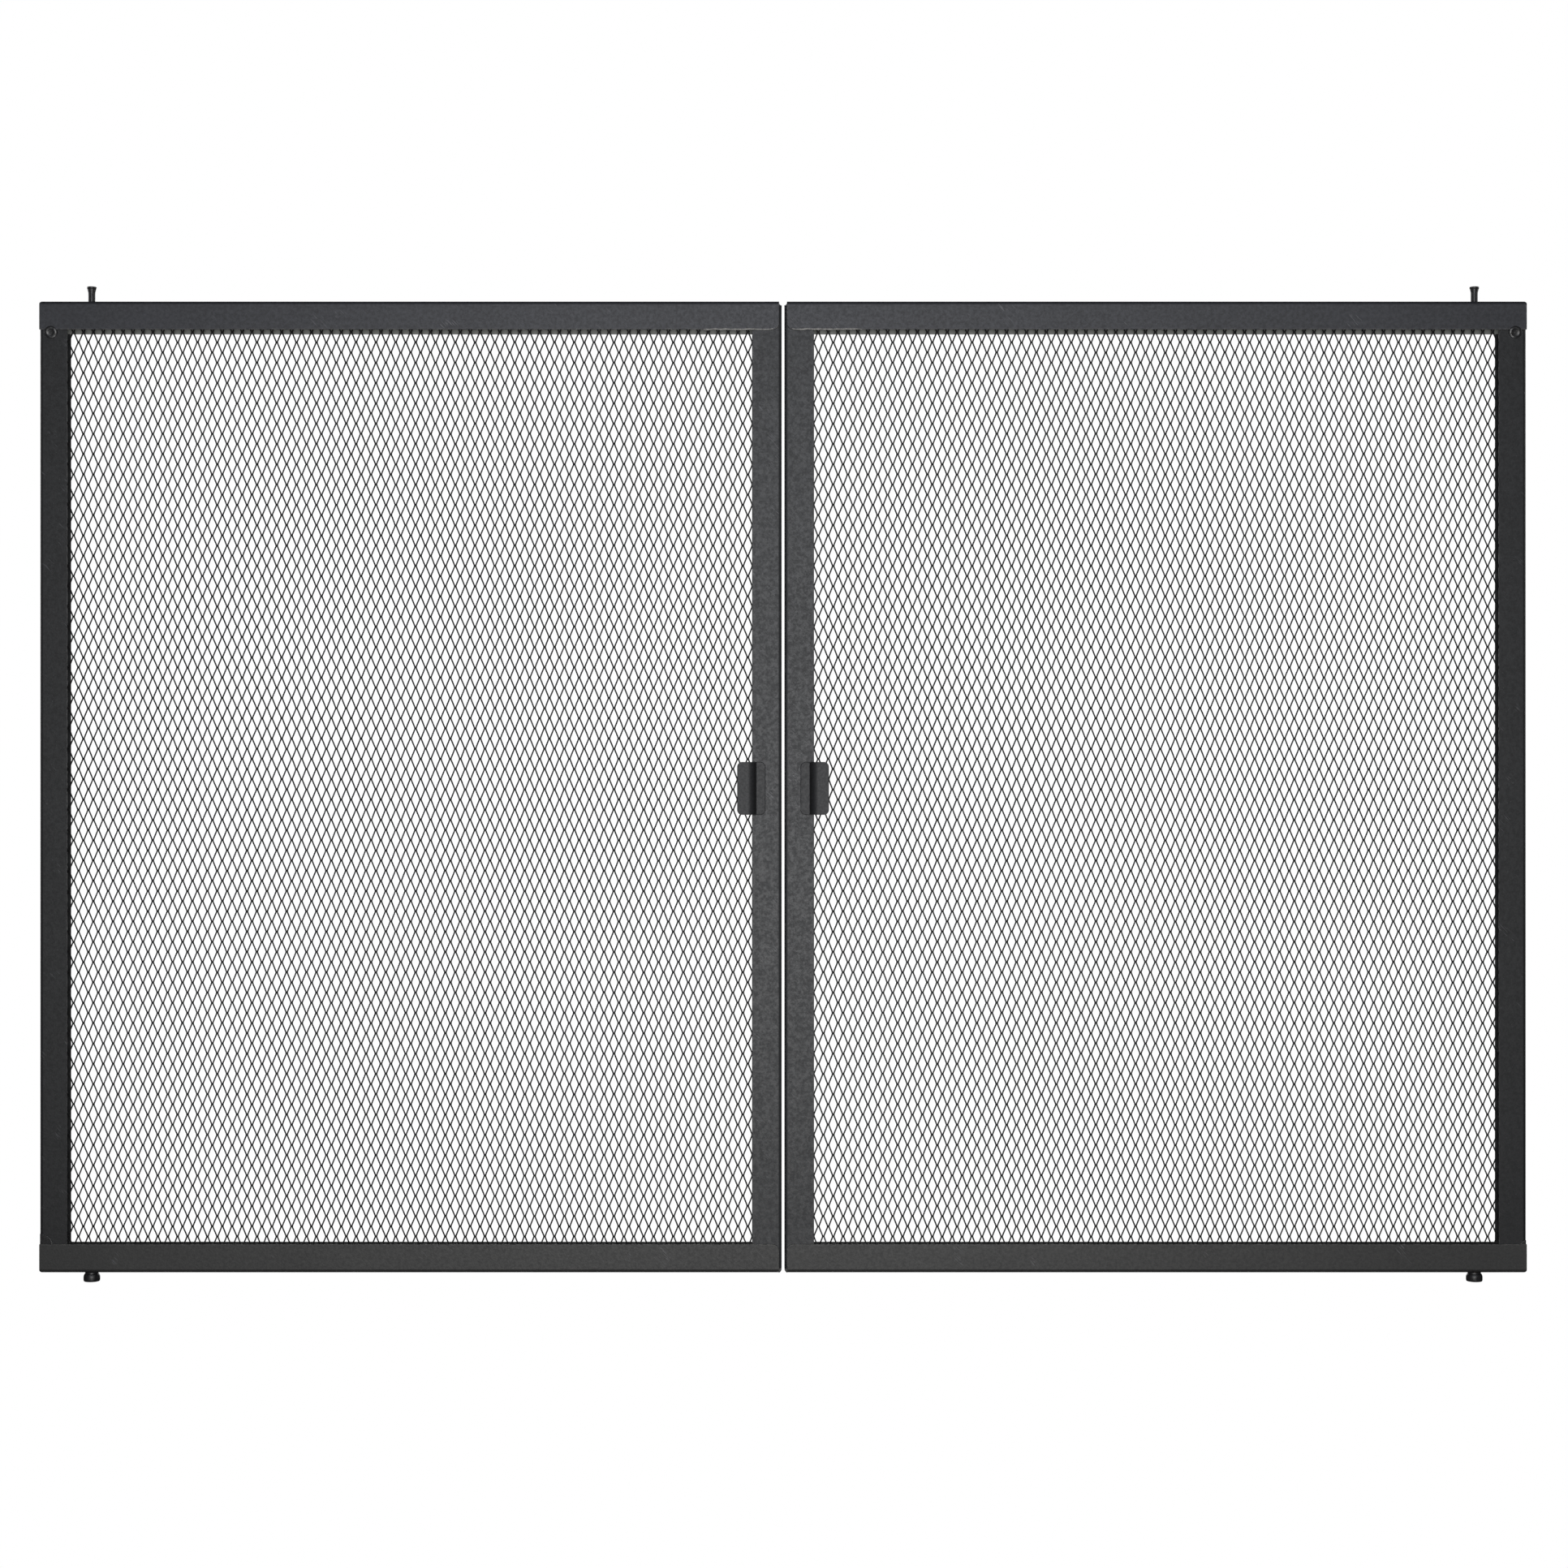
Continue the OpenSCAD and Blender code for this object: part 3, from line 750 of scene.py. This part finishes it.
def weld_corners(side):
    """The welds in the corners of a leaf's frame."""
    seed = 3 + SIDES[side]
    top_low, top_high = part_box(side + "_top_rail")
    bottom_low, bottom_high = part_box(side + "_bottom_rail")
    stile_low, stile_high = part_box(side + "_inner_stile")
    edge_x = max(abs(top_low.x), abs(top_high.x))
    rail_x = min(abs(top_low.x), abs(top_high.x))
    gap_x = min(abs(stile_low.x), abs(stile_high.x))
    rail_y, stile_y, back_y = top_low.y, stile_low.y, top_high.y
    shape = bmesh.new()

    # plug weld where the top rail lies on the outer stile
    plug = (edge_x - 7 * MM, rail_y, top_high.z - TOP_FACE - 1.6 * MM)
    crater(shape, plug, inner_r=2.6 * MM, outer_r=4.1 * MM, height=0.4 * MM,
           step=stile_y - rail_y, seed=seed)

    # tab of weld at the outer bottom corner, larger on the left leaf
    lobe = 8 * MM if side == "left" else 3.6 * MM
    foot = (edge_x - 0.35 * MM, bottom_high.z - 0.8 * MM)
    filled_corner(shape, [foot, *quarter(foot, (lobe, lobe * 0.9), 90)],
                  rail_y + 0.45 * MM, stile_y + 0.5 * MM, ease_mm=0.4)

    # rounded fills in the bottom corners beside the gap, hollow ones in the top corners
    lap, proud = 0.4 * MM, 0.1 * MM
    fill_front, fill_back = rail_y + 0.7 * MM, back_y - 0.3 * MM
    reach, rise = rail_x - gap_x + lap, stile_low.z - bottom_low.z + lap
    inner = (gap_x + reach, bottom_low.z + rise)
    filled_corner(shape, [inner, *quarter(inner, (reach, rise), 180)],
                  fill_front, fill_back, ease_mm=0.8)
    hollow = quarter((gap_x - proud, top_high.z + proud), (reach, rise), 270)
    filled_corner(shape, [(gap_x + reach, top_high.z - rise), *hollow[::-1]],
                  fill_front, fill_back, ease_mm=0.3)

    # short runs front to back inside the four corners
    inset, half_run = 1.4 * MM, 2.6 * MM
    for z in (bottom_low.z + inset, top_high.z - inset):
        for x in (gap_x + inset, edge_x - inset):
            run = [(x, -half_run, z), (x, 0, z), (x, half_run, z)]
            bead(shape, run, radius=0.7 * MM, seed=seed)
    set_weld(side, "weld_beads", shape, "weld")


def weld_rail_seam(side):
    """The run along the top rail's lower edge, where it lies on the inner stile, in a pale coat
    that is a painted highlight.
    """
    way = SIDES[side]
    low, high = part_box(side + "_top_rail")
    rail_x = min(abs(low.x), abs(high.x))
    run_from, spacing, spots = 2.4, 3.4, 14  # mm from the rail's end, mm apart, and how many
    first_height, height = 0.9, 0.25  # mm over the rail's lower edge
    wobble = Random(40 + way)
    path = [(rail_x + (run_from + spacing * i) * MM, low.y + 0.35 * MM,
             high.z - TOP_FACE + (height if i else first_height) * MM
             + wobble.uniform(-0.25, 0.2) * MM)
            for i in range(spots)]
    seam = bmesh.new()
    bead(seam, path, radius=0.55 * MM, seed=3 + way, ripple=0.06)
    set_weld(side, "rail_seam", seam, "seam")


# ---------------------------------------------------------------- turned parts and springs

def axis_x(side):
    """Where a leaf's swing axis stands, left or right of the middle."""
    low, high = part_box(side + "_bottom_pivot")
    return (low.x + high.x) / 2


def turn_bottom_pivot(side):
    """Round foot with a rolled rim, a neck and the spindle that goes up into the leaf."""
    low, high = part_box(side + "_bottom_pivot")
    foot_r = (high.x - low.x) / 2
    rail_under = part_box(side + "_bottom_rail")[0].z
    neck_r, spindle_r = foot_r - 1 * MM, 2 * MM
    rim_low, rim_high, shoulder, neck_low = 0.9 * MM, 3.1 * MM, 4.4 * MM, 4.7 * MM
    profile = ease_profile([
        (0, 0), (foot_r - 0.2 * MM, 0), (foot_r, rim_low), (foot_r, rim_high),
        (foot_r - 0.5 * MM, shoulder), (neck_r, neck_low), (neck_r, rail_under),
        (spindle_r, rail_under), (spindle_r, high.z), (0, high.z),
    ], radius=0.9 * MM)
    shape = turn_on_lathe(profile, (axis_x(side), 0, 0))
    set_piece(side + "_bottom_pivot_turned", shape, "hearth_pivots", finishes["black"],
              [side + "_bottom_pivot"])


def turn_top_pin(side):
    """Pin with a flared head and a raised ring under the flare."""
    low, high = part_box(side + "_top_pin")
    head_r = (high.x - low.x) / 2
    top = high.z
    clip_low, clip_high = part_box(side + "_pin_clip")
    washer_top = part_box(side + "_pin_washer")[1].z
    stem_r, pin_r, groove_r = 1.5 * MM, 2.1 * MM, 1.8 * MM
    slack = 0.05 * MM
    flare_low, flare_high, ring_low, ring_high, head_low = (
        top - below * MM for below in (4.2, 3.2, 2.4, 1.7, 1.0))
    rim_r = head_r - 0.15 * MM
    profile = ease_profile([
        (0, low.z), (stem_r, low.z), (stem_r, washer_top), (pin_r, washer_top),
        (pin_r, clip_low.z - slack), (groove_r, clip_low.z - slack),
        (groove_r, clip_high.z + slack), (pin_r, clip_high.z + slack),
        (pin_r, flare_low), (pin_r + 0.1 * MM, flare_high),
        (pin_r + 0.35 * MM, ring_low), (pin_r + 0.4 * MM, ring_high),
        (rim_r, head_low), (rim_r, top), (0, top),
    ], radius=0.15 * MM)
    shape = turn_on_lathe(profile, (axis_x(side), 0, 0))
    set_piece(side + "_top_pin_turned", shape, side + "_pin", finishes["black"],
              [side + "_top_pin"])


def turn_magnet(side, where):
    """Plated disc with a small chamfer, on the back of a rail."""
    node = f"{side}_{where}_magnet"
    low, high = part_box(node)
    radius, thick = (high.x - low.x) / 2, high.y - low.y
    chamfer = 0.45 * MM
    profile = ease_profile([
        (0, 0), (radius - chamfer, 0), (radius, chamfer), (radius, thick - chamfer),
        (radius - chamfer, thick), (0, thick),
    ], radius=0.2 * MM, steps=3)
    centre = ((low.x + high.x) / 2, low.y, (low.z + high.z) / 2)
    shape = turn_on_lathe(profile, centre, along=(0, 1, 0), sides=64)
    keep_faces_flat(set_piece(node + "_plated", shape, side + "_leaf", finishes["magnet"],
                              [node]))


def wind_spring(side):
    """Round wire coil of the pin's spring, which closes up as the pin is pressed; it is wound here
    at one fixed length.
    """
    low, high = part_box(side + "_pin_spring")
    x = axis_x(side)
    wire_r = 0.25 * MM
    coil_r = (high.x - low.x) / 2 - wire_r
    turns, per_turn, sides = 5, 28, 10
    shape = bmesh.new()
    rings = []
    for i in range(turns * per_turn + 1):
        t = i / (turns * per_turn)
        a = math.tau * turns * t
        out = Vector((math.cos(a), math.sin(a), 0))
        z = low.z + wire_r + (high.z - low.z - 2 * wire_r) * t
        spot = Vector((x, 0, z)) + out * coil_r
        ring = []
        for j in range(sides):
            b = math.tau * j / sides
            rim = out * math.cos(b) + Vector((0, 0, math.sin(b)))
            ring.append(shape.verts.new(spot + rim * wire_r))
        rings.append(ring)
    skin_tube(shape, rings)
    bmesh.ops.recalc_face_normals(shape, faces=shape.faces)
    spring = set_piece(side + "_pin_spring_wound", shape, side + "_leaf", finishes["wire"],
                       [side + "_pin_spring"])
    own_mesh(spring)


# ---------------------------------------------------------------- the pair of doors

place_camera()
light_the_studio()
paint_the_room()
lay_floor()
finishes = mix_finishes()

RAIL_EASE_MM, STILE_EASE_MM, HANDLE_EASE_MM = 0.4, 0.3, 0.4

for side in SIDES:
    leaf = side + "_leaf"
    for rail in ("top_rail", "bottom_rail"):
        ease_sheet(f"{side}_{rail}", leaf, finishes[rail], RAIL_EASE_MM)
    for stile in ("outer_stile", "inner_stile"):
        ease_sheet(f"{side}_{stile}", leaf, finishes[stile], STILE_EASE_MM)
    ease_sheet(side + "_handle", leaf, finishes["handle"], HANDLE_EASE_MM)
    stretch_sheet(side)
    weld_corners(side)
    weld_rail_seam(side)
    turn_bottom_pivot(side)
    turn_top_pin(side)
    for where in ("top", "bottom"):
        turn_magnet(side, where)
    wind_spring(side)
    for node, finish in (("pin_guide", "zinc"), ("pin_washer", "zinc"), ("pin_clip", "wire"),
                         ("pivot_bush", "bronze")):
        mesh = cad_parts[f"{side}_{node}"].data
        mesh.materials.clear()
        mesh.materials.append(finishes[finish])
